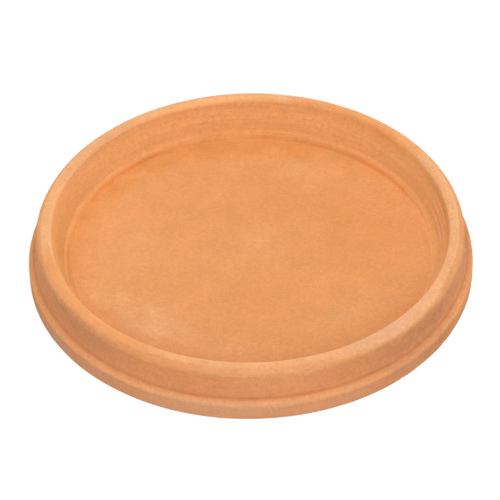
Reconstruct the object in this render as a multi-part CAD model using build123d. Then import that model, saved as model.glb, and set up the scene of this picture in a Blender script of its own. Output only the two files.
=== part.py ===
from build123d import *
import math
import os

# A round plant saucer of pressed terracotta: one piece of fired clay, turned about Z.
# Millimetres, +Z up. The origin is the middle of the ring that it stands on.

# The whole saucer
base_diameter = 240.0          # across the collar, the widest part
overall_height = 30.0          # from the ground to the top of the lip

# The collar, a step that runs round the foot of the wall
collar_width = 3.3             # how far it stands out from the foot of the wall
collar_height = 12.3           # where its sloping top meets the wall, in a sharp groove
collar_face_height = 9.8       # where its upright face would meet that slope
collar_rounding = 2.6          # between the face and the slope

# The wall and its rolled lip
wall_lean = 1.8                # how far the outside leans in, from the collar to the lip
lip_thickness = 7.4            # across the lip
lip_outer_rounding = 5.4
lip_inner_rounding = 2.4
wall_draft = 6.7               # how far the inside slopes in, from the lip to the ledge

# The ledge, a small step at the foot of the inner wall
ledge_height = 2.4             # above the floor, at its edge
ledge_width = 1.9              # from its edge to the foot of the wall
ledge_rise = 1.8               # the ledge slopes: its back stands this much higher
ledge_draft = 0.8              # how far its riser slopes in, down to the floor

# The floor that the pot stands on
floor_thickness = 6.0
floor_corner_radius = 0.8      # in the corner between the floor and the riser

# The underside: a foot ring round a shallow recess
recess_depth = 2.0
foot_ring_width = 21.0
recess_draft = 1.2             # how far the side of the recess slopes in
foot_bevel = 1.2               # on the outer edge of the foot ring

# An edge gives at most this share of its length to the roundings at its two ends.
edge_limit_share = 0.98


def saucer_corners():
    """The corners of half the section, as (radius, height, rounding), from the underside's middle out and back."""
    base_radius = base_diameter / 2
    wall_foot = base_radius - collar_width
    lip_outside = wall_foot - wall_lean
    lip_inside = lip_outside - lip_thickness
    ledge_back = lip_inside - wall_draft
    ledge_edge = ledge_back - ledge_width
    floor_edge = ledge_edge - ledge_draft
    foot_inside = base_radius - foot_ring_width

    floor_height = recess_depth + floor_thickness
    ledge_top = floor_height + ledge_height

    return [
        (0, recess_depth, 0),
        (foot_inside - recess_draft, recess_depth, 0),
        (foot_inside, 0, 0),
        (base_radius - foot_bevel, 0, 0),
        (base_radius, foot_bevel, 0),
        (base_radius, collar_face_height, collar_rounding),
        (wall_foot, collar_height, 0),
        (lip_outside, overall_height, lip_outer_rounding),
        (lip_inside, overall_height, lip_inner_rounding),
        (ledge_back, ledge_top + ledge_rise, 0),
        (ledge_edge, ledge_top, 0),
        (floor_edge, floor_height, floor_corner_radius),
        (0, floor_height, 0),
    ]


def fitted_roundings(corners):
    """Each corner's rounding, held down where an edge beside it is too short for both of its ends."""
    count = len(corners)
    lengths = []
    reaches = []
    for i in range(count):
        before = Vector(*corners[i - 1][:2])
        here = Vector(*corners[i][:2])
        after = Vector(*corners[(i + 1) % count][:2])
        turn = math.radians((here - before).get_angle(after - here))
        lengths.append((after - here).length)
        reaches.append(corners[i][2] * math.tan(turn / 2))

    fitted = []
    for i in range(count):
        fit = 1.0
        for edge, other in ((i, (i + 1) % count), (i - 1, i - 1)):
            wanted = reaches[i] + reaches[other]
            if wanted > 0:
                fit = min(fit, edge_limit_share * lengths[edge] / wanted)
        fitted.append(corners[i][2] * fit)
    return fitted


def make_saucer():
    """The section, with its corners rounded, turned once round the Z axis."""
    corners = saucer_corners()
    points = [(radius, 0, height) for radius, height, _ in corners]
    outline = FilletPolyline(*points, radius=fitted_roundings(corners), close=True)
    saucer = revolve(make_face(outline), axis=Axis.Z)
    saucer.label = "saucer"
    return saucer


os.makedirs("parts", exist_ok=True)
saucer = make_saucer()
export_step(saucer, f"parts/{saucer.label}.step")
size = saucer.bounding_box().size
print(f"{saucer.label}: {size.X:.1f} x {size.Y:.1f} x {size.Z:.1f} mm, {saucer.volume / 1000:.1f} cm3")
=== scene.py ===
"""Looks for a round plant saucer of pressed terracotta.

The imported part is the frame. It holds one piece of fired clay, so one detailed mesh stands for its one
node: the same section, turned about Z, with the small faults that pressing, drying and firing leave.
Everything is in metres, in the part's own frame.
"""

import logging
import math
from dataclasses import dataclass, fields
from enum import Enum
from functools import partial
from typing import Any, Callable, Mapping

import bpy
from mathutils import Matrix, Vector


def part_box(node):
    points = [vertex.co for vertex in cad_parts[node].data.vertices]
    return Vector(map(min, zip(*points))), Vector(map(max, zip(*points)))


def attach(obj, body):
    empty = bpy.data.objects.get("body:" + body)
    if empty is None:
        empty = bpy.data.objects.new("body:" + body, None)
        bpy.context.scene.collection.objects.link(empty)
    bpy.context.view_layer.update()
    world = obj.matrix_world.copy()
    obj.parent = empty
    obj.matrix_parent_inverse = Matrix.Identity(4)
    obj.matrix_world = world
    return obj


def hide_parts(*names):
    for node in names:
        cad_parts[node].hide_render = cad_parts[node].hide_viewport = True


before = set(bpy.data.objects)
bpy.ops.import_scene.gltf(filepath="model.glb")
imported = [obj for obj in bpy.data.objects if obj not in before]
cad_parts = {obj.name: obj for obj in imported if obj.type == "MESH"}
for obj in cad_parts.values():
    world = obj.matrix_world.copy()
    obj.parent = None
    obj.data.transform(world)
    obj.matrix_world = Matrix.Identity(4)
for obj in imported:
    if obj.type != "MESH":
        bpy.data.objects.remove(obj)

MM = 0.001
# So far that a patch with this reach goes all round the saucer
ALL_ROUND = 1000.0
# Noise lies between 0 and 1, and mostly near its middle
NOISE_MIDDLE = 0.5
# The levels of noise between which a random pattern grows from its least to its most
HOLLOW_LEVELS = (0.3, 0.7)
NICK_LEVELS = (0.62, 0.78)
CLOUD_LEVELS = (0.35, 0.6)
WHITE = (1, 1, 1, 1)
# The kinds of node that are used most
MATH = "ShaderNodeMath"
VECTOR_MATH = "ShaderNodeVectorMath"
MAP_RANGE = "ShaderNodeMapRange"
ROTATE = "ShaderNodeVectorRotate"
NOISE = "ShaderNodeTexNoise"
# What may feed a node's input: an output, or a node, which stands for its own first output
Feed = bpy.types.NodeSocket | bpy.types.Node
# Adds a node to a tree that it knows
Adder = Callable[..., bpy.types.Node]
NODE = "saucer"
BODY = "root"
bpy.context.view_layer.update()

log = logging.getLogger("plant_saucer")


class Zone(Enum):
    """The stretches of the section, in the order in which the outline meets them."""

    RECESS = "recess"
    FOOT = "foot"
    COLLAR = "collar"
    WALL = "wall"
    LIP = "lip"
    INNER_WALL = "inner wall"
    LEDGE = "ledge"
    FLOOR = "floor"


def mm(*lengths: float) -> tuple[float, ...]:
    """Turns millimetres into metres.

    Args:
        *lengths: lengths in millimetres.

    Returns:
        The same lengths in metres.
    """
    return tuple(length * MM for length in lengths)


def linear(hex_colour: str) -> tuple[float, float, float, float]:
    """Turns an sRGB hex colour into linear light.

    Args:
        hex_colour: six hex digits after a hash.

    Returns:
        Red, green, blue and an alpha of 1.
    """
    parts = [int(hex_colour[i:i + 2], 16) / 255 for i in (1, 3, 5)]
    red, green, blue = (c / 12.92 if c <= 0.04045 else ((c + 0.055) / 1.055) ** 2.4 for c in parts)
    return red, green, blue, 1.0


def smoothed(values: list[float], reach: int) -> list[float]:
    """Averages each value with its neighbours.

    Args:
        values: the values, in order.
        reach: how many neighbours count on each side.

    Returns:
        As many values.
    """
    windows = (values[max(0, i - reach):i + reach + 1] for i in range(len(values)))
    return [sum(window) / len(window) for window in windows]


def add_node(
    tree: bpy.types.NodeTree, kind: str, links: Mapping[Any, Any] | None = None, **settings: Any
) -> bpy.types.Node:
    """Adds a node with its settings and its links.

    Args:
        tree: the tree that gets the node.
        kind: the node's Blender type.
        links: an input's name or index, and what feeds it or the value that it holds.
        **settings: the node's own properties.

    Returns:
        The new node.
    """
    node = tree.nodes.new(kind)
    for name, value in settings.items():
        setattr(node, name, value)
    for key, value in (links or {}).items():
        if isinstance(value, bpy.types.Node):
            value = value.outputs[0]
        if isinstance(value, bpy.types.NodeSocket):
            tree.links.new(value, node.inputs[key])
        else:
            node.inputs[key].default_value = value
    return node


def emptied(owner: bpy.types.Material | bpy.types.World) -> Adder:
    """Empties the nodes of a material or a world.

    Args:
        owner: the material or world.

    Returns:
        What adds nodes to it.
    """
    owner.use_nodes = True
    owner.node_tree.nodes.clear()
    return partial(add_node, owner.node_tree)


def add_object(name: str, data: bpy.types.ID) -> bpy.types.Object:
    """Puts a mesh, a lamp or a camera into the scene.

    Args:
        name: the name of the new object.
        data: what it holds.

    Returns:
        The object, at the origin.
    """
    made = bpy.data.objects.new(name, data)
    bpy.context.scene.collection.objects.link(made)
    return made


@dataclass(frozen=True)
class Corner:
    """A corner of the section, and the run that follows it.

    Attributes:
        radius: its distance from the axis.
        height: its height over the ground.
        rounding: the radius that rounds it, or zero.
        zone: what the corner and its run belong to.
        step: the longest piece that its run is cut into.
    """

    radius: float
    height: float
    rounding: float
    zone: Zone
    step: float

    @property
    def place(self) -> Vector:
        """The corner in the plane of the section."""
        return Vector((self.radius, self.height))


@dataclass(frozen=True)
class Flaw:
    """A long dent in the clay, or with a negative depth a smear that stands up from it.

    Attributes:
        azimuth: the way to its middle, in degrees from +X.
        place: the radius and height of its middle.
        reach: half its length round the axis and half its width up the section.
        tilt: how far its end climbs, in degrees.
        depth: how deep its middle is.
    """

    azimuth: float
    place: tuple[float, ...]
    reach: tuple[float, ...]
    tilt: float
    depth: float


@dataclass(frozen=True)
class Faults:
    """What working, drying and handling leave on the clay. Each field is an input of the node tree.

    Attributes:
        turns: how many faces go once round the axis.
        seed: what the random patterns start from.
        mark_length: how long a mark of the turning tool runs.
        mark_spacing: how far apart such marks are, measured along the section.
        lump_size: how wide the slow hollows of the pressed surface are.
        lump_depth: how deep those hollows are.
        nick_size: how long the nicks on the edges are.
        nick_depth: how deep those nicks are.
        out_of_round: how far drying has drawn the wall in, all round but for one side.
        full_side: the azimuth of that side.
        full_middle: how near to that side nothing is drawn in, as the cosine of an angle.
        full_edge: how near to that side the drawing in begins to fade, as the cosine of an angle.
        rim_drop: how much lower the lip lies at its lowest.
        detail: how many times finer noise is added to each random pattern.
        weld: how near two points lie that are joined.
    """

    turns: int = 480
    seed: int = 11
    mark_length: float = 38.0 * MM
    mark_spacing: float = 1.9 * MM
    lump_size: float = 19.0 * MM
    lump_depth: float = 0.13 * MM
    nick_size: float = 3.2 * MM
    nick_depth: float = 0.22 * MM
    out_of_round: float = 0.25 * MM
    full_side: float = math.radians(-38)
    full_middle: float = math.cos(math.radians(5))
    full_edge: float = math.cos(math.radians(45))
    rim_drop: float = 0.25 * MM
    detail: float = 2.0
    weld: float = 0.001 * MM


class Turning:
    """The node tree that turns the section about Z and works the clay's surface.

    The section is a mesh of edges, whose points carry the attributes that this tree reads: out, the way
    out of the clay; path, the length of section before the point; marks, the depth that the turning tool
    leaves there; and nicks, the share of the nicks that the point takes. Every fault goes into the clay,
    so that the piece stays as large as the part.
    """

    def __init__(self, faults: Faults, flaws: tuple[Flaw, ...], finish: bpy.types.Material) -> None:
        """Makes the tree.

        Args:
            faults: what is to be worked into the surface.
            flaws: the dents and smears that have a place of their own.
            finish: the material that the tree sets.
        """
        self.tree = bpy.data.node_groups.new("Turned clay", "GeometryNodeTree")
        self.tree.is_modifier = True
        self.add = partial(add_node, self.tree)
        self.values: dict[str, float] = {}
        self.socket("Geometry", "NodeSocketGeometry")
        for name in ("radius", "height"):
            self.socket(name, "NodeSocketFloat")
        self.socket("points", "NodeSocketInt")
        for field in fields(faults):
            value = getattr(faults, field.name)
            self.socket(field.name, "NodeSocketInt" if isinstance(value, int) else "NodeSocketFloat")
            self.values[field.name] = value
        self.tree.interface.new_socket("Geometry", in_out="OUTPUT", socket_type="NodeSocketGeometry")
        self.given = self.add("NodeGroupInput").outputs

        around = self.whole("ADD", self.given["turns"], 1)
        grid = self.add("GeometryNodeMeshGrid", {"Vertices X": self.given["points"], "Vertices Y": around})
        index = self.add("GeometryNodeInputIndex")
        self.step = self.whole("DIVIDE", index, around)
        spoke = self.whole("MODULO", index, around)
        share = self.add(MATH, {0: spoke, 1: self.given["turns"]}, operation="DIVIDE")
        angle = self.add(MATH, {0: share, 1: math.tau}, operation="MULTIPLY")
        self.place, self.out = (
            self.add(
                ROTATE,
                {"Vector": self.read(name, "FLOAT_VECTOR"), "Angle": angle}, rotation_type="Z_AXIS",
            )
            for name in ("position", "out")
        )
        self.close(grid, self.drawn_in(self.sunk(self.depth(flaws))), finish)

    def close(self, grid: Feed, worked: Feed, finish: bpy.types.Material) -> None:
        """Moves the grid's points, joins its seam and its poles, and gives it its finish.

        Args:
            grid: the grid, a row of points for each point of the section.
            worked: each point's place on the finished piece.
            finish: the material.
        """
        shaped = self.add("GeometryNodeSetPosition", {"Geometry": grid, "Position": worked})
        welded = self.add(
            "GeometryNodeMergeByDistance", {"Geometry": shaped, "Distance": self.given["weld"]}
        )
        outward = self.add("GeometryNodeFlipFaces", {"Mesh": welded})
        smooth = self.add("GeometryNodeSetShadeSmooth", {"Geometry": outward})
        real = self.add("GeometryNodeRealizeInstances", {"Geometry": smooth})
        dressed = self.add("GeometryNodeSetMaterial", {"Geometry": real, "Material": finish})
        self.add("NodeGroupOutput", {"Geometry": dressed})

    def socket(self, name: str, kind: str) -> None:
        """Gives the tree a named input."""
        self.tree.interface.new_socket(name, in_out="INPUT", socket_type=kind)

    def whole(self, operation: str, first: Any, second: Any) -> Feed:
        """Works out a sum of two whole numbers."""
        return self.add("FunctionNodeIntegerMath", {0: first, 1: second}, operation=operation)

    def read(self, name: str, kind: str) -> Feed:
        """Reads one of the section's attributes for each point of the grid.

        Args:
            name: the attribute.
            kind: its data type.

        Returns:
            Its value at the point of the section that the grid's point is turned from.
        """
        value = self.add(
            "GeometryNodeInputNamedAttribute", {"Name": name}, data_type=kind
        ).outputs["Attribute"]
        return self.add(
            "GeometryNodeSampleIndex",
            {"Geometry": self.given["Geometry"], "Value": value, "Index": self.step},
            data_type=kind, domain="POINT",
        )

    def ruffle(self, where: Feed, size: Any, levels: tuple[float, float], most: Any) -> Feed:
        """Makes a random pattern that is flat below one level of the noise and above another.

        Args:
            where: the point that the pattern is looked up at.
            size: how wide its features are.
            levels: the level that gives zero, and the one that gives the most.
            most: what the pattern reaches.

        Returns:
            A value from zero to the most.
        """
        scale = self.add(MATH, {0: 1.0, 1: size}, operation="DIVIDE")
        noise = self.add(
            NOISE,
            {"Vector": where, "W": self.given["seed"], "Scale": scale, "Detail": self.given["detail"]},
            noise_dimensions="4D",
        )
        return self.add(
            MAP_RANGE, {0: noise, 1: levels[0], 2: levels[1], 4: most},
            interpolation_type="SMOOTHSTEP",
        )

    def depth(self, flaws: tuple[Flaw, ...]) -> Feed:
        """Adds up how deep each point lies in its worked surface.

        Args:
            flaws: the dents and smears that have a place of their own.

        Returns:
            The depth, from the surface of the part into the clay.
        """
        across = self.add("ShaderNodeSeparateXYZ", {0: self.place}).outputs
        length, spacing = self.given["mark_length"], self.given["mark_spacing"]
        path = self.read("path", "FLOAT")
        along = [
            self.add(MATH, {0: value, 1: size}, operation="DIVIDE")
            for value, size in ((across[0], length), (across[1], length), (path, spacing))
        ]
        streaks = self.add("ShaderNodeCombineXYZ", dict(enumerate(along)))
        nicks = self.add(
            MATH, {0: self.given["nick_depth"], 1: self.read("nicks", "FLOAT")},
            operation="MULTIPLY",
        )
        parts = [
            self.ruffle(streaks, 1.0, HOLLOW_LEVELS, self.read("marks", "FLOAT")),
            self.ruffle(self.place, self.given["lump_size"], HOLLOW_LEVELS, self.given["lump_depth"]),
            self.ruffle(self.place, self.given["nick_size"], NICK_LEVELS, nicks),
        ]
        parts += [self.flaw(flaw) for flaw in flaws]
        total = parts[0]
        for part in parts[1:]:
            total = self.add(MATH, {0: total, 1: part}, operation="ADD")
        return total

    def flaw(self, flaw: Flaw) -> Feed:
        """Gives the depth that one flaw adds.

        Args:
            flaw: the dent or smear.

        Returns:
            Its depth at the grid's point, which fades to nothing at its reach.
        """
        azimuth = math.radians(flaw.azimuth)
        radius, height = flaw.place
        middle = (radius * math.cos(azimuth), radius * math.sin(azimuth), height)
        away = self.add(VECTOR_MATH, {0: self.place, 1: middle}, operation="SUBTRACT")
        faced = self.add(ROTATE, {"Vector": away, "Angle": -azimuth}, rotation_type="Z_AXIS")
        level = self.add(
            ROTATE, {"Vector": faced, "Angle": -math.radians(flaw.tilt)},
            rotation_type="X_AXIS",
        )
        around, up = flaw.reach
        share = self.add(VECTOR_MATH, {0: level, 1: (around, around, up)}, operation="DIVIDE")
        far = self.add(VECTOR_MATH, {0: share}, operation="LENGTH").outputs["Value"]
        return self.add(MAP_RANGE, {0: far, 3: flaw.depth, 4: 0.0}, interpolation_type="SMOOTHSTEP")

    def sunk(self, depth: Feed) -> Feed:
        """Moves each point into the clay.

        Args:
            depth: how far it moves.

        Returns:
            Its new place.
        """
        step = self.add(VECTOR_MATH, {0: self.out, 3: depth}, operation="SCALE")
        return self.add(VECTOR_MATH, {0: self.place, 1: step}, operation="SUBTRACT")

    def drawn_in(self, place: Feed) -> Feed:
        """Draws the whole piece a little out of round, and its lip a little out of level.

        Args:
            place: each point's place before that.

        Returns:
            Its place after that.
        """
        flat = self.add(VECTOR_MATH, {0: self.place, 1: (1, 1, 0)}, operation="MULTIPLY")
        way = self.add(VECTOR_MATH, {0: flat}, operation="NORMALIZE")
        turned = self.add(
            ROTATE, {"Vector": (1, 0, 0), "Angle": self.given["full_side"]},
            rotation_type="Z_AXIS",
        )
        facing = self.add(VECTOR_MATH, {0: way, 1: turned}, operation="DOT_PRODUCT").outputs["Value"]
        edge, middle, most = (self.given[name] for name in ("full_edge", "full_middle", "out_of_round"))
        drawn = self.add(
            MAP_RANGE, {0: facing, 1: edge, 2: middle, 3: most, 4: 0.0},
            interpolation_type="SMOOTHSTEP",
        )
        dropped = self.ruffle(self.place, self.given["radius"], HOLLOW_LEVELS, self.given["rim_drop"])
        shares = []
        for shrink, size in ((drawn, self.given["radius"]), (dropped, self.given["height"])):
            lost = self.add(MATH, {0: shrink, 1: size}, operation="DIVIDE")
            left = self.add(MATH, {0: 1.0, 1: lost}, operation="SUBTRACT")
            shares.append(left)
        scale = self.add("ShaderNodeCombineXYZ", {0: shares[0], 1: shares[0], 2: shares[1]})
        return self.add(VECTOR_MATH, {0: place, 1: scale}, operation="MULTIPLY")

    def apply(self, piece: bpy.types.Object, **sizes: float) -> bpy.types.Mesh:
        """Runs the tree on a section.

        Args:
            piece: the object that holds the section.
            **sizes: the tree's inputs that the faults don't give.

        Returns:
            The turned piece as a plain mesh.
        """
        turning = piece.modifiers.new("Turning", "NODES")
        turning.node_group = self.tree
        for socket in self.tree.interface.items_tree:
            value = {**self.values, **sizes}.get(socket.name)
            if value is not None:
                turning[socket.identifier] = value
        view = bpy.context.evaluated_depsgraph_get()
        mesh = bpy.data.meshes.new_from_object(piece.evaluated_get(view))
        piece.modifiers.clear()
        # The grid comes with an empty material slot of its own
        if mesh.materials[0] is None:
            mesh.materials.pop(index=0)
        return mesh


@dataclass
class Saucer:
    """The one piece of fired clay: its section, its mesh and its pressing and firing faults."""

    base_diameter: float
    overall_height: float
    # The collar, and the small hollow where its slope meets the wall
    collar_width: float = 3.3 * MM
    collar_height: float = 12.3 * MM
    collar_face_height: float = 9.8 * MM
    collar_face_middle: float = 5.0 * MM
    collar_rounding: float = 2.6 * MM
    collar_groove_radius: float = 0.8 * MM
    # The wall and its rolled lip
    wall_lean: float = 1.8 * MM
    lip_thickness: float = 7.4 * MM
    lip_outer_rounding: float = 5.4 * MM
    lip_inner_rounding: float = 2.4 * MM
    wall_draft: float = 6.7 * MM
    # The ledge at the foot of the inner wall
    ledge_height: float = 2.4 * MM
    ledge_width: float = 1.9 * MM
    ledge_rise: float = 1.8 * MM
    ledge_rounding: float = 1.8 * MM
    ledge_corner_radius: float = 1.0 * MM
    ledge_draft: float = 0.8 * MM
    # The floor
    floor_thickness: float = 6.0 * MM
    floor_corner_radius: float = 0.8 * MM
    # The underside
    recess_depth: float = 2.0 * MM
    foot_ring_width: float = 21.0 * MM
    recess_draft: float = 1.2 * MM
    recess_corner_radius: float = 1.5 * MM
    foot_inner_rounding: float = 1.0 * MM
    foot_outer_rounding: float = 1.5 * MM
    # How deep the turning tool's marks are
    wall_marks: float = 0.08 * MM
    inner_wall_marks: float = 0.12 * MM
    floor_marks: float = 0.015 * MM
    other_marks: float = 0.03 * MM
    # How many points of the section blend the marks, and the nicks, from zone to zone
    marks_blend: int = 4
    nicks_blend: int = 2
    # How finely the section is cut
    least_arc_pieces: int = 3
    arc_step: float = 0.45 * MM
    floor_step: float = 4.0 * MM
    foot_step: float = 2.0 * MM
    wall_step: float = 0.6 * MM

    @classmethod
    def fitted(cls, box: tuple[Vector, Vector]) -> "Saucer":
        """Makes a saucer that fills a box.

        Args:
            box: the box's lowest and highest corners.

        Returns:
            The saucer.
        """
        size = box[1] - box[0]
        return cls(base_diameter=size.x, overall_height=size.z)

    @property
    def base_radius(self) -> float:
        """The radius of the collar."""
        return self.base_diameter / 2

    @property
    def wall_foot(self) -> float:
        """The radius of the groove above the collar."""
        return self.base_radius - self.collar_width

    @property
    def lip_outside(self) -> float:
        """The radius of the outer wall, at the lip."""
        return self.wall_foot - self.wall_lean

    @property
    def lip_inside(self) -> float:
        """The radius of the inner wall, at the lip."""
        return self.lip_outside - self.lip_thickness

    @property
    def ledge_back(self) -> float:
        """The radius where the ledge meets the inner wall."""
        return self.lip_inside - self.wall_draft

    @property
    def floor_edge(self) -> float:
        """The radius of the floor."""
        return self.ledge_back - self.ledge_width - self.ledge_draft

    @property
    def floor_height(self) -> float:
        """The height of the floor over the ground."""
        return self.recess_depth + self.floor_thickness

    @property
    def ledge_top(self) -> float:
        """The height of the ledge's edge over the ground."""
        return self.floor_height + self.ledge_height

    @property
    def ledge_back_top(self) -> float:
        """The height of the ledge where it meets the inner wall."""
        return self.ledge_top + self.ledge_rise

    @property
    def outside(self) -> float:
        """The radius of the outer wall, half way up."""
        return (self.wall_foot + self.lip_outside) / 2

    @property
    def inside(self) -> float:
        """The radius of the inner wall, half way up."""
        return (self.ledge_back + self.lip_inside) / 2

    @property
    def lip(self) -> tuple[float, float]:
        """The radius and height of the middle of the lip."""
        return (self.lip_inside + self.lip_outside) / 2, self.overall_height

    @property
    def collar_face(self) -> tuple[float, float]:
        """The radius and height of the middle of the collar's upright face."""
        return self.base_radius, self.collar_face_middle

    @property
    def groove(self) -> tuple[float, float]:
        """The radius and height of the groove above the collar."""
        return self.wall_foot, self.collar_height

    @property
    def riser(self) -> tuple[float, float]:
        """The radius and height of the middle of the ledge's riser."""
        return self.floor_edge + self.ledge_draft / 2, self.floor_height + self.ledge_height / 2

    @property
    def tool_marks(self) -> dict[Zone, float]:
        """Gives the turning tool's marks.

        Returns:
            How deep they are in each zone.
        """
        depths = dict.fromkeys(Zone, self.other_marks)
        depths[Zone.WALL] = self.wall_marks
        depths[Zone.INNER_WALL] = self.inner_wall_marks
        depths[Zone.FLOOR] = self.floor_marks
        return depths

    @property
    def flaws(self) -> tuple[Flaw, ...]:
        """Gives the marks inside the wall that have a place of their own.

        Returns:
            A scrape and the grooves that the tool left last.
        """
        slope = self.wall_draft / (self.overall_height - self.ledge_back_top)
        grooves = (
            Flaw(
                azimuth, (self.lip_inside - slope * (self.overall_height - height * MM), height * MM),
                reach, tilt=0, depth=depth * MM,
            )
            for azimuth, height, reach, depth in (
                (3, 24.4, mm(42, 1.7), 0.34), (12, 20.9, mm(26, 1.2), 0.18),
                (4, 17.3, mm(40, 1.7), 0.34), (6, 13.4, mm(34, 1.4), 0.24),
                (80, 26.2, mm(26, 0.7), 0.07), (86, 24.0, mm(32, 0.7), 0.08),
                (82, 21.8, mm(28, 0.7), 0.08), (88, 19.5, mm(24, 0.7), 0.07),
            )
        )
        return (
            Flaw(104.5, mm(103.4, 19.2), mm(7.5, 0.9), 4, -0.16 * MM),
            Flaw(104.0, mm(102.9, 17.6), mm(8.5, 0.8), 6, 0.22 * MM),
            Flaw(111.5, mm(102.2, 15.4), mm(6.0, 0.7), 5, 0.16 * MM),
            *grooves,
        )

    def corners(self) -> list[Corner]:
        """Gives the corners of half the section.

        Returns:
            The corners from the middle of the underside, out and over the lip, to the middle of the floor.
        """
        foot_inside = self.base_radius - self.foot_ring_width
        recess_inside = foot_inside - self.recess_draft
        ledge_edge = self.ledge_back - self.ledge_width
        fine, middle, wide = self.wall_step, self.foot_step, self.floor_step
        return [
            Corner(0, self.recess_depth, 0, Zone.RECESS, wide),
            Corner(recess_inside, self.recess_depth, self.recess_corner_radius, Zone.RECESS, fine),
            Corner(foot_inside, 0, self.foot_inner_rounding, Zone.FOOT, middle),
            Corner(self.base_radius, 0, self.foot_outer_rounding, Zone.COLLAR, fine),
            Corner(self.base_radius, self.collar_face_height, self.collar_rounding, Zone.COLLAR, fine),
            Corner(self.wall_foot, self.collar_height, self.collar_groove_radius, Zone.WALL, fine),
            Corner(self.lip_outside, self.overall_height, self.lip_outer_rounding, Zone.LIP, fine),
            Corner(self.lip_inside, self.overall_height, self.lip_inner_rounding, Zone.INNER_WALL, fine),
            Corner(self.ledge_back, self.ledge_back_top, self.ledge_corner_radius, Zone.LEDGE, fine),
            Corner(ledge_edge, self.ledge_top, self.ledge_rounding, Zone.LEDGE, fine),
            Corner(self.floor_edge, self.floor_height, self.floor_corner_radius, Zone.FLOOR, wide),
            Corner(0, self.floor_height, 0, Zone.FLOOR, wide),
        ]

    def bend(self, before: Corner, corner: Corner, after: Corner) -> list[Vector]:
        """Rounds a corner.

        Args:
            before: the corner before it.
            corner: the corner.
            after: the corner after it.

        Returns:
            Points of the arc, in the plane of the section.
        """
        back = (before.place - corner.place).normalized()
        ahead = (after.place - corner.place).normalized()
        half_turn = (math.pi - back.angle(ahead)) / 2
        reach = corner.rounding * math.tan(half_turn)
        centre = corner.place + (back + ahead).normalized() * (corner.rounding / math.cos(half_turn))
        first = corner.place + back * reach - centre
        side = 1 if back.cross(ahead) < 0 else -1
        pieces = max(self.least_arc_pieces, math.ceil(2 * half_turn * corner.rounding / self.arc_step))
        turns = (side * 2 * half_turn * k / pieces for k in range(pieces + 1))
        return [centre + Matrix.Rotation(turn, 2) @ first for turn in turns]

    def outline(self) -> list[tuple[Vector, Zone]]:
        """Rounds the corners and cuts the runs between them.

        Returns:
            Points of the section, each with its zone.
        """
        corners = self.corners()
        inner = zip(corners, corners[1:], corners[2:])
        bends = [[corners[0].place], *(self.bend(*three) for three in inner), [corners[-1].place]]
        points = [(bends[0][0], corners[0].zone)]
        for corner, bend, after, zone in zip(corners, bends, bends[1:], (c.zone for c in corners[1:])):
            start, end = bend[-1], after[0]
            pieces = max(1, math.ceil((end - start).length / corner.step))
            points += [(start.lerp(end, k / pieces), corner.zone) for k in range(1, pieces)]
            points += [(point, zone) for point in after]
        return points

    def section(self) -> bpy.types.Mesh:
        """Makes the section, with the attributes that the node tree reads.

        Returns:
            A mesh of edges in the plane of X and Z.
        """
        outline = self.outline()
        points = [Vector((p.x, 0, p.y)) for p, _ in outline]
        mesh = bpy.data.meshes.new("saucer_section")
        mesh.from_pydata(points, [(i, i + 1) for i in range(len(points) - 1)], [])
        path, out = [0.0], []
        for before, point, after in zip(points[:1] + points, points, points[1:] + points[-1:]):
            ahead = (after - before).normalized()
            out += [ahead.z, 0, -ahead.x]
            path.append(path[-1] + (after - point).length)
        edges = (Zone.COLLAR, Zone.LIP)
        attributes = {
            "path": path[:-1],
            "marks": smoothed([self.tool_marks[zone] for _, zone in outline], self.marks_blend),
            "nicks": smoothed([float(zone in edges) for _, zone in outline], self.nicks_blend),
        }
        for name, values in attributes.items():
            mesh.attributes.new(name, "FLOAT", "POINT").data.foreach_set("value", values)
        mesh.attributes.new("out", "FLOAT_VECTOR", "POINT").data.foreach_set("vector", out)
        return mesh

    def build(self, finish: bpy.types.Material) -> bpy.types.Object:
        """Makes the saucer and gives it its finish.

        Args:
            finish: the fired clay.

        Returns:
            The saucer as a plain mesh, placed in the part's frame.
        """
        section = self.section()
        piece = add_object("fired_clay_saucer", section)
        turning = Turning(Faults(), self.flaws, finish)
        piece.data = turning.apply(
            piece, radius=self.base_radius, height=self.overall_height, points=len(section.vertices)
        )
        bpy.data.meshes.remove(section)
        return piece


@dataclass(frozen=True)
class Patch:
    """A soft-edged part of the surface: a patch, or a ring where it reaches all round the axis.

    Attributes:
        place: the radius and height of its middle.
        reach: how far it reaches outwards and up from there.
        share: how much of its coat its middle takes. Over 1, the coat is whole nearly out to the edge.
        azimuth: the way to its middle, in degrees from +X.
        around: how far it reaches each way round the axis.
    """

    place: tuple[float, ...]
    reach: tuple[float, ...]
    share: float
    azimuth: float = 0.0
    around: float = ALL_ROUND


@dataclass(frozen=True)
class Coat:
    """A tint that lies over part of the clay.

    Attributes:
        colour: the tint.
        patches: the parts of the surface that it covers.
        cloud: how wide the clouds are that break it up.
        fray: how far those clouds push its edges about.
        thinnest: the share of it that is left between the clouds.
    """

    colour: str
    patches: tuple[Patch, ...]
    cloud: float
    fray: float
    thinnest: float


@dataclass(frozen=True)
class Mottle:
    """A random pattern of lighter and darker clay.

    Attributes:
        size: how wide its features are.
        contrast: how much lighter or darker they are at most.
        height: how tall they are, as a share of their width.
    """

    size: float
    contrast: float
    height: float = 1.0


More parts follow.
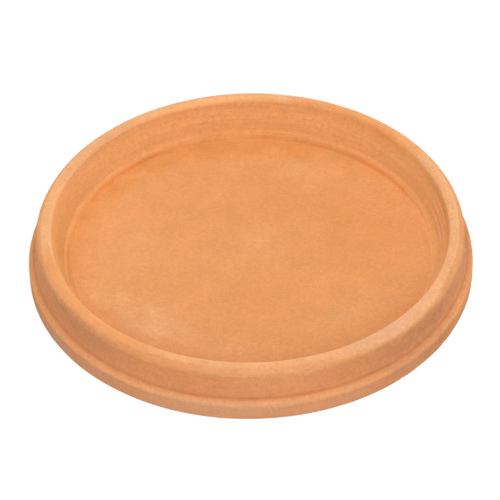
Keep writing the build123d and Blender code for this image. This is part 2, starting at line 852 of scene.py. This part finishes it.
@dataclass(frozen=True)
class Terracotta:
    """Unglazed terracotta, pressed in a mould, dried and fired at a low heat.

    The clay keeps its open pores and has no glaze, so it is matt all over and shows no highlight. Its
    colour drifts where the fire and the kiln's draught reached it unevenly, and salts that dry out of it
    leave a pale bloom on the edges. Handling rubs the bloom off in places.
    """

    name: str = "unglazed_pressed_terracotta"
    # The clay, the tints that lie over it, and the painted light and shade
    clay: str = "#DA9860"
    painted_light: str = "#E7A567"
    flushed: str = "#E29866"
    drawn: str = "#D28A4A"
    ruddy_and_shade: str = "#CE8A4B"
    scorched: str = "#E28C48"
    smoke_and_shade: str = "#BA7C55"
    bloom: str = "#DFAA79"
    grey_bloom: str = "#D6A584"
    rubbed: str = "#DD9C62"
    pale: str = "#F0B679"
    painted_shade: str = "#B06C3A"
    # How it takes the light
    roughness: float = 0.92
    diffuse_roughness: float = 1.0
    specular_level: float = 0.25
    # The grain of such clay is about 0.3 mm. It is drawn at 0.9 mm, so that it shows.
    mottles: tuple[Mottle, ...] = (
        Mottle(45 * MM, 0.03), Mottle(9 * MM, 0.03), Mottle(2.6 * MM, 0.08), Mottle(0.9 * MM, 0.13),
        Mottle(14 * MM, 0.07, 0.07),
    )
    mottle_detail: float = 1.0
    grain_size: float = 0.9 * MM
    grain_depth: float = 0.06 * MM
    grain_detail: float = 3.0
    # How finely the clouds are broken that fray the tints
    cloud_detail: float = 3.0
    cloud_roughness: float = 0.6

    def fired(self, form: Saucer) -> tuple[Coat, ...]:
        """Says where the fire coloured the clay and where its smoke did, and where light and shade are
        painted on it.

        Args:
            form: the saucer.

        Returns:
            The coats, the lowest first.
        """
        lip, riser, groove = form.lip, form.riser, form.groove
        inside, outside, floor = form.inside, form.outside, form.floor_height
        collar, face = form.base_radius, form.collar_face
        rim = (form.floor_edge, floor - 1 * MM)
        # Painted light on the inside of the wall and on the ledge at the back, which face the lamps
        painted_light = Coat(
            self.painted_light,
            (
                Patch((inside, 21 * MM), mm(9, 11), 1.3, 93, 150 * MM),
                Patch((form.ledge_back, form.ledge_back_top), mm(3, 2.5), 0.8, 93, 150 * MM),
            ),
            cloud=3 * MM, fray=1.5 * MM, thinnest=0.6,
        )
        # The outside, pinker than the floor, and the inside of the wall on the right
        flushed = Coat(
            self.flushed,
            (
                Patch((outside, 18 * MM), mm(4, 13), 1.4),
                Patch(face, mm(3, 9), 0.9),
                Patch((inside, 19 * MM), mm(8, 12), 0.9, 3, 50 * MM),
            ),
            cloud=4 * MM, fray=1.5 * MM, thinnest=0.5,
        )
        # Darker clay on the floor, along its rim and in broad patches, mostly at the back and on the right
        drawn = Coat(
            self.drawn,
            (
                Patch(rim, mm(18, 3), 1.5, 104, 165 * MM),
                Patch(rim, mm(12, 3), 0.6, 132, 70 * MM),
                Patch((form.floor_edge - 4 * MM, floor), mm(16, 4), 0.7, 90, 70 * MM),
                Patch(rim, mm(10, 4), 0.4, 176, 60 * MM),
                Patch((50 * MM, floor), mm(60, 12), 0.5, 65, 110 * MM),
                Patch((66 * MM, floor), mm(34, 12), 0.45, 14, 50 * MM),
                Patch((30 * MM, floor), mm(30, 12), 0.3, -80, 30 * MM),
            ),
            cloud=13 * MM, fray=4 * MM, thinnest=0.5,
        )
        # Redder clay inside the wall at its two sides and at the rim of the floor, and painted shade in
        # dark lines at the foot of the wall and of the ledge on the left
        ruddy_and_shade = Coat(
            self.ruddy_and_shade,
            (
                Patch((inside, 16 * MM), mm(8, 12), 0.85, 178, 75 * MM),
                # Partly redder clay, partly painted shade: dark lines at the foot of the wall and at the
                # ledge's riser on the left
                Patch((form.ledge_back + 0.4 * MM, 12.8 * MM), mm(1.5, 1.8), 1.0, 184, 48 * MM),
                Patch(riser, mm(2.0, 2.8), 2.6, 192, 34 * MM),
                Patch((form.lip_inside - 1.1 * MM, 26.5 * MM), mm(3, 3.5), 0.5, 48, 34 * MM),
                Patch((form.lip_inside - 1.5 * MM, 25.0 * MM), mm(3, 4), 1.1, 4, 52 * MM),
                Patch(rim, mm(9, 3), 0.5, 98, 90 * MM),
            ),
            cloud=4 * MM, fray=0.4 * MM, thinnest=0.6,
        )
        # Painted light on the riser of the ledge at the back and on the right, which lifts the shade at its
        # foot
        riser_light = Coat(
            self.painted_light,
            (Patch(riser, mm(2.0, 2.6), 1.3, 4, 56 * MM), Patch(riser, mm(2.0, 2.6), 1.1, 94, 54 * MM)),
            cloud=3 * MM, fray=0.3 * MM, thinnest=0.7,
        )
        # The outside and the lip where smoke reached them, mostly on the right, and painted shade in the
        # groove and round the foot of the collar
        smoke_and_shade = Coat(
            self.smoke_and_shade,
            (
                Patch((outside, 20 * MM), mm(8, 15), 1.0, -36, 85 * MM),
                Patch(face, mm(5, 9), 0.9, -38, 80 * MM),
                Patch(lip, mm(8, 8), 0.4, -5, 80 * MM),
                Patch((form.lip_outside - 0.8 * MM, 28 * MM), mm(3.4, 4), 0.8, -150, 74 * MM),
                Patch((collar, 10 * MM), mm(4, 4), 0.35, -150, 34 * MM),
                Patch((collar - 1 * MM, 11 * MM), mm(5, 4), 0.6, 3, 50 * MM),
                # Painted shade in the groove above the collar, and a painted contact shadow round the foot
                # of the collar
                Patch(groove, mm(3, 3), 0.2),
                Patch((collar, 0.0), mm(2, 1.8), 0.6),
            ) + tuple(
                Patch((outside, 22 * MM), mm(8, 12), share, azimuth, around * MM)
                for share, azimuth, around in ((0.4, -138, 45), (0.3, 178, 50), (0.5, 4, 40))
            ),
            cloud=5 * MM, fray=2 * MM, thinnest=0.55,
        )
        return painted_light, flushed, drawn, ruddy_and_shade, riser_light, smoke_and_shade

    def salted(self, form: Saucer) -> tuple[Coat, ...]:
        """Says where salts dried on the clay.

        Args:
            form: the saucer.

        Returns:
            The coats, the lowest first.
        """
        lip, face, outside, floor = form.lip, form.collar_face, form.outside, form.floor_height
        shoulder = (form.lip_outside - 0.9 * MM, lip[1] + 0.5 * MM)
        crest = (form.base_radius - 0.8 * MM, 10.6 * MM)
        # Salts on the lip and the collar, and between them at the front
        bloom = Coat(
            self.bloom,
            (
                Patch((form.lip_inside + 1.3 * MM, lip[1] + 1.0 * MM), mm(4, 4), 6.0),
                Patch(shoulder, mm(5, 6), 0.35),
                Patch(shoulder, mm(6, 9), 0.8, -86, 52 * MM),
                Patch((lip[0] + 1.0 * MM, lip[1]), mm(5, 5), 2.2, -48, 50 * MM),
                Patch(shoulder, mm(6, 9), 0.7, 138, 50 * MM),
                Patch(crest, mm(2.6, 2.6), 0.35),
                Patch(crest, mm(2.6, 3.2), 1.0, -92, 95 * MM),
                Patch(face, mm(2, 8), 0.7, -95, 60 * MM),
                Patch((outside, 21 * MM), mm(3, 9), 0.3, -84, 36 * MM),
            ),
            cloud=1.7 * MM, fray=0.4 * MM, thinnest=0.6,
        )
        # Pale clouds that a damp pot left on the floor
        stained = Coat(
            self.bloom,
            tuple(
                Patch((radius * MM, floor), mm(width, 14), share, azimuth, around * MM)
                for radius, width, share, azimuth, around in (
                    (74, 20, 0.9, -136, 36), (79, 9, 0.55, -154, 14), (70, 9, 0.4, -141, 11),
                    (77, 7, 0.4, -131, 12), (86, 8, 0.7, -161, 16), (76, 14, 0.45, -104, 44),
                    (64, 22, 0.4, 172, 30), (76, 14, 0.25, -170, 26), (74, 20, 0.3, -46, 40),
                    (88, 12, 0.3, -12, 34), (74, 12, 0.35, 66, 16), (12, 16, 0.4, 60, 18),
                )
            ),
            cloud=11 * MM, fray=5 * MM, thinnest=0.25,
        )
        # Greyer salts on the collar, and on the lip at the front right
        grey_bloom = Coat(
            self.grey_bloom,
            (
                Patch(face, mm(5, 9), 0.6, -112, 130 * MM),
                Patch((lip[0] - 0.6 * MM, lip[1]), mm(4, 6), 0.9, -48, 48 * MM),
            ) + tuple(
                Patch((form.base_radius, height * MM), mm(5, 6), share, azimuth, around * MM)
                for azimuth, height, around, share in (
                    (-149, 5, 20, 0.6), (-134, 6, 16, 0.3), (-93, 7, 22, 0.3), (-64, 5, 22, 0.5),
                    (-46, 6, 20, 0.4),
                )
            ),
            cloud=5 * MM, fray=2 * MM, thinnest=0.4,
        )
        return bloom, stained, grey_bloom

    def worn(self, form: Saucer) -> tuple[Coat, ...]:
        """Says where the lip and the collar are rubbed, where single spots are burnt, and where shade is
        painted into the groove and the foot of the wall.

        Args:
            form: the saucer.

        Returns:
            The coats, the lowest first.
        """
        lip, riser, groove = form.lip, form.riser, form.groove
        inside, collar = form.inside, form.base_radius
        # The lip and the collar where hands have rubbed the salts off
        rubbed = Coat(
            self.rubbed,
            (
                Patch((lip[0] - 1 * MM, lip[1]), mm(5, 6), 2.4, 203, 29 * MM),
                Patch(lip, mm(9, 8), 2.4, 52, 48 * MM),
                Patch((form.lip_outside - 2 * MM, lip[1]), mm(3, 4), 0.6, 100, 50 * MM),
                Patch((lip[0] - 2.2 * MM, lip[1]), mm(6, 6), 2.1, -140, 62 * MM),
                Patch((collar, 10 * MM), mm(4, 6), 1.3, -23, 15 * MM),
                Patch((collar, 6 * MM), mm(4, 5), 0.5, -122, 12 * MM),
            ),
            cloud=2.4 * MM, fray=1 * MM, thinnest=0.75,
        )
        # The inner edge of the lip at the back, where the salts lie thickest
        pale = Coat(
            self.pale, (Patch((form.lip_inside + 0.3 * MM, 28.7 * MM), mm(2.4, 2.8), 1.3, 100, 70 * MM),),
            cloud=2.4 * MM, fray=0.5 * MM, thinnest=0.7,
        )
        # Places that took the most heat, on the ledge, inside the wall and on the lip's inner edge
        scorched = Coat(
            self.scorched,
            tuple(
                Patch((form.floor_edge, form.floor_height), mm(2.6, 3), share, azimuth, around * MM)
                for azimuth, around, share in (
                    (64, 8, 0.6), (57, 6, 0.45), (86, 14, 0.35), (46, 12, 0.5), (31, 10, 0.8),
                    (132, 9, 0.6), (147, 9, 0.5),
                )
            ) + (
                Patch(riser, mm(1.8, 2.4), 0.7, 138, 60 * MM),
                Patch(riser, mm(1.8, 2.4), 0.6, 45, 40 * MM),
                Patch(mm(102, 14.5), mm(5, 3), 0.5, 158.5, 9 * MM),
                Patch(mm(107.8, 28.6), mm(2.6, 2.6), 0.9, 72, 13 * MM),
                Patch(mm(107.4, 28), mm(2.0, 2.2), 0.6, 56, 9 * MM),
                Patch(mm(107.2, 27.6), mm(2.2, 2.4), 1.1, 46, 16 * MM),
            ),
            cloud=3 * MM, fray=0.6 * MM, thinnest=0.4,
        )
        # Painted shade in the groove above the collar, and on the ledge and the foot of the wall on the
        # left
        painted_shade = Coat(
            self.painted_shade,
            (
                Patch(groove, mm(1.2, 1.2), 0.45),
                Patch((riser[0] + 0.8 * MM, riser[1] + 0.8 * MM), mm(1.8, 2.0), 0.5, 188, 34 * MM),
                Patch((inside, 15 * MM), mm(6, 9), 0.4, 190, 44 * MM),
            ),
            cloud=8 * MM, fray=0.2 * MM, thinnest=0.4,
        )
        return rubbed, pale, scorched, painted_shade

    def cover(self, add: Adder, where: Feed, patches: tuple[Patch, ...]) -> Feed:
        """Adds up what some patches cover.

        Each patch fades from its middle to its reach in the unrolled surface: radius, angle and height.
        Texture and Mapping nodes would do the same, but Cycles keeps every patch's vector in store for
        them at once, and so many don't fit.

        Args:
            add: adds a node to the material.
            where: the place on the piece.
            patches: the patches.

        Returns:
            The output that holds the sum, from zero to one.
        """
        across = add("ShaderNodeSeparateXYZ", {0: where}).outputs
        flat = add(VECTOR_MATH, {0: where, 1: (1, 1, 0)}, operation="MULTIPLY")
        radius = add(VECTOR_MATH, {0: flat}, operation="LENGTH").outputs["Value"]
        turn = add(MATH, {0: across[1], 1: across[0]}, operation="ARCTAN2")
        total: Any = 0.0
        for patch in patches:
            azimuth = math.radians(patch.azimuth)
            reach = (patch.reach[0], patch.around / patch.place[0], patch.reach[1])
            middle = (patch.place[0] / reach[0], azimuth / reach[1], patch.place[1] / reach[2])
            near = add(MATH, {0: turn, 1: azimuth + math.pi, 2: azimuth - math.pi}, operation="WRAP")
            unrolled = add("ShaderNodeCombineXYZ", {0: radius, 1: near, 2: across[2]})
            local = add(VECTOR_MATH, {0: unrolled, 1: reach}, operation="DIVIDE")
            far = add(VECTOR_MATH, {0: local, 1: middle}, operation="DISTANCE").outputs["Value"]
            left = add(MATH, {0: 1.0, 1: far}, operation="SUBTRACT")
            part = add(MATH, {0: left, 1: 0.0}, operation="MAXIMUM")
            total = add(MATH, {0: part, 1: patch.share, 2: total}, operation="MULTIPLY_ADD")
        return add("ShaderNodeClamp", {0: total})

    def laid(self, add: Adder, where: Feed, coat: Coat, below: Any) -> Feed:
        """Lays a coat over the colour below it.

        Args:
            add: adds a node to the material.
            where: the place on the piece.
            coat: the coat.
            below: the colour below it.

        Returns:
            The colour with the coat.
        """
        clouds = add(
            NOISE,
            {
                "Vector": where, "Scale": 1 / coat.cloud, "Detail": self.cloud_detail,
                "Roughness": self.cloud_roughness,
            },
        ).outputs
        push = add(VECTOR_MATH, {0: clouds["Color"], 1: (NOISE_MIDDLE,) * 3}, operation="SUBTRACT")
        # The push is half at most, so that twice the fray moves an edge by up to the fray
        frayed = add(VECTOR_MATH, {0: push, 1: (2 * coat.fray,) * 3, 2: where}, operation="MULTIPLY_ADD")
        thin, whole = CLOUD_LEVELS
        broken = add(MAP_RANGE, {0: clouds["Fac"], 1: thin, 2: whole, 3: coat.thinnest, 4: 1.0})
        covered = self.cover(add, frayed, coat.patches)
        share = add(MATH, {0: covered, 1: broken}, operation="MULTIPLY")
        return add(
            "ShaderNodeMix", {0: share, 6: below, 7: linear(coat.colour)}, data_type="RGBA"
        ).outputs[2]

    def mottled(self, add: Adder, where: Feed, colour: Feed) -> Feed:
        """Makes a colour lighter and darker in random patterns.

        Args:
            add: adds a node to the material.
            where: the place on the piece.
            colour: the colour.

        Returns:
            The mottled colour.
        """
        # Where the noise is in its middle, the colour stays as it is
        level: Any = 1.0 - sum(mottle.contrast for mottle in self.mottles)
        for mottle in self.mottles:
            squeeze = (1, 1, 1 / mottle.height)
            shape = add(VECTOR_MATH, {0: where, 1: squeeze}, operation="MULTIPLY")
            noise = add(NOISE, {"Vector": shape, "Scale": 1 / mottle.size, "Detail": self.mottle_detail})
            level = add(MATH, {0: noise, 1: 2 * mottle.contrast, 2: level}, operation="MULTIPLY_ADD")
        return add(VECTOR_MATH, {0: colour, 3: level}, operation="SCALE")

    def build(self, form: Saucer) -> bpy.types.Material:
        """Makes the material.

        Args:
            form: the saucer that gets it.

        Returns:
            The material.
        """
        material = bpy.data.materials.new(self.name)
        add = emptied(material)
        where = add("ShaderNodeTexCoord").outputs["Object"]
        colour: Any = linear(self.clay)
        for coat in (*self.fired(form), *self.salted(form), *self.worn(form)):
            colour = self.laid(add, where, coat, colour)
        grain = add(NOISE, {"Vector": where, "Scale": 1 / self.grain_size, "Detail": self.grain_detail})
        bump = add("ShaderNodeBump", {"Strength": 1.0, "Distance": self.grain_depth, "Height": grain})
        shader = add("ShaderNodeBsdfPrincipled", {
            "Base Color": self.mottled(add, where, colour), "Normal": bump, "Roughness": self.roughness,
            "Diffuse Roughness": self.diffuse_roughness, "Specular IOR Level": self.specular_level,
        })
        add("ShaderNodeOutputMaterial", {"Surface": shader})
        return material


@dataclass(frozen=True)
class Softbox:
    """A square lamp that is aimed at the middle of the saucer.

    Attributes:
        name: its name.
        place: where it stands.
        side: how wide it is.
        power: its power in watts.
    """

    name: str
    place: tuple[float, float, float]
    side: float
    power: float


@dataclass
class Studio:
    """A pale floor, soft light from above and the camera.

    Attributes:
        collar_radius: the saucer's radius, which the camera's distance and scale follow.
        elevation: how high the camera stands, as an angle.
        roll: how far the camera is turned about the way that it looks.
        distance_in_radii: how far off the camera is.
        pixels_per_radius: how many of the photograph's pixels the radius takes.
        middle_x: the middle of the base in the photograph, in pixels from the left.
        middle_y: the same from the top.
        image_side: the photograph's width and height in pixels.
        sensor_width: the camera's sensor, in Blender's millimetres.
        near_share: where the camera's view begins, as a share of its distance.
        far_share: where it ends, as a share of its distance.
        floor_reach: how far the floor reaches.
        floor_gap: how far it lies below the saucer.
        floor_paint: how light the floor is to the rays that light the saucer.
        floor_shade: how much of the lamps' light the camera sees on it.
        floor_glow: how brightly it glows for the camera.
        sky: how bright the open sky is.
        backdrop: how bright the camera sees it.
        softboxes: the lamps.
    """

    collar_radius: float
    elevation: float = math.radians(41.7)
    roll: float = math.radians(0.957)
    distance_in_radii: float = 14.0
    pixels_per_radius: float = 221.4
    middle_x: float = 250.8
    middle_y: float = 265.0
    image_side: float = 500.0
    sensor_width: float = 36.0
    near_share: float = 0.1
    far_share: float = 20.0
    floor_reach: float = 6.0
    floor_gap: float = 0.05 * MM
    floor_paint: float = 0.55
    floor_shade: float = 0.15
    floor_glow: float = 0.9
    sky: float = 0.04
    backdrop: float = 1.0
    softboxes: tuple[Softbox, ...] = (
        Softbox("overhead_softbox", (0.0, 0.0, 1.6), 1.2, 24.0),
        Softbox("front_softbox", (0.3, -1.5, 1.0), 2.0, 26.0),
    )

    def camera(self) -> None:
        """Makes the camera, aimed so that the middle of the base lies where the photograph has it."""
        data = bpy.data.cameras.new("Camera")
        camera = add_object("Camera", data)
        bpy.context.scene.camera = camera
        data.sensor_width = self.sensor_width
        data.lens = data.sensor_width * self.pixels_per_radius * self.distance_in_radii / self.image_side
        right = Vector((1, 0, 0))
        up = Vector((0, math.sin(self.elevation), math.cos(self.elevation)))
        turned_right = right * math.cos(self.roll) - up * math.sin(self.roll)
        turned_up = right * math.sin(self.roll) + up * math.cos(self.roll)
        metres = self.collar_radius / self.pixels_per_radius
        half = self.image_side / 2
        target = (turned_right * (half - self.middle_x) + turned_up * (self.middle_y - half)) * metres
        towards = Vector((0, -math.cos(self.elevation), math.sin(self.elevation)))
        place = towards * self.distance_in_radii * self.collar_radius
        back = (place - target).normalized()
        right = turned_up.cross(back).normalized()
        axes = Matrix((right, back.cross(right), back)).transposed()
        camera.matrix_world = Matrix.Translation(place) @ axes.to_4x4()
        data.clip_start = place.length * self.near_share
        data.clip_end = place.length * self.far_share

    def direct(self, add: Adder) -> Feed:
        """Tells the rays that look at the background from those that light the saucer.

        Args:
            add: adds a node to the floor's material or to the world.

        Returns:
            One for a ray from the camera, a reflection or a glass, and zero for any other.
        """
        ray = add("ShaderNodeLightPath").outputs
        mirrored = add(MATH, {0: ray["Is Camera Ray"], 1: ray["Is Glossy Ray"]}, operation="MAXIMUM")
        return add(MATH, {0: mirrored, 1: ray["Is Transmission Ray"]}, operation="MAXIMUM")

    def floor(self) -> None:
        """Makes the pale floor, which the camera sees as white with a faint shadow on it."""
        mesh = bpy.data.meshes.new("floor")
        far, level = self.floor_reach, -self.floor_gap
        corners = [(x * far, y * far, level) for x, y in ((-1, -1), (1, -1), (1, 1), (-1, 1))]
        mesh.from_pydata(corners, [], [range(4)])
        floor = add_object("floor", mesh)
        material = bpy.data.materials.new("white_floor")
        add = emptied(material)
        paint, shade = (
            add("ShaderNodeBsdfDiffuse", {"Color": (grey, grey, grey, 1)})
            for grey in (self.floor_paint, self.floor_shade)
        )
        glow = add("ShaderNodeEmission", {"Color": WHITE, "Strength": self.floor_glow})
        seen = add("ShaderNodeAddShader", {0: shade, 1: glow})
        mix = add("ShaderNodeMixShader", {0: self.direct(add), 1: paint, 2: seen})
        add("ShaderNodeOutputMaterial", {"Surface": mix})
        mesh.materials.append(material)

    def light(self) -> None:
        """Makes the softboxes and the open sky round them."""
        for softbox in self.softboxes:
            data = bpy.data.lights.new(softbox.name, "AREA")
            data.shape = "SQUARE"
            data.size = softbox.side
            data.energy = softbox.power
            lamp = add_object(softbox.name, data)
            lamp.location = softbox.place
            lamp.rotation_mode = "QUATERNION"
            lamp.rotation_quaternion = Vector(softbox.place).to_track_quat("Z", "Y")
            lamp.visible_camera = False
        world = bpy.data.worlds.new("sky")
        bpy.context.scene.world = world
        add = emptied(world)
        soft, bright = (
            add("ShaderNodeBackground", {"Color": WHITE, "Strength": strength})
            for strength in (self.sky, self.backdrop)
        )
        mix = add("ShaderNodeMixShader", {0: self.direct(add), 1: soft, 2: bright})
        add("ShaderNodeOutputWorld", {"Surface": mix})


def main() -> None:
    """Builds the saucer and its studio."""
    logging.basicConfig(level=logging.INFO, format="%(name)s: %(message)s")
    saucer = Saucer.fitted(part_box(NODE))
    piece = saucer.build(Terracotta().build(saucer))
    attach(piece, BODY)
    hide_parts(NODE)
    log.info("%s: %d vertices, %d faces", piece.name, len(piece.data.vertices), len(piece.data.polygons))
    studio = Studio(collar_radius=saucer.base_radius)
    studio.floor()
    studio.light()
    studio.camera()
    bpy.context.scene.view_settings.view_transform = "Standard"


if __name__ == "__main__":
    main()
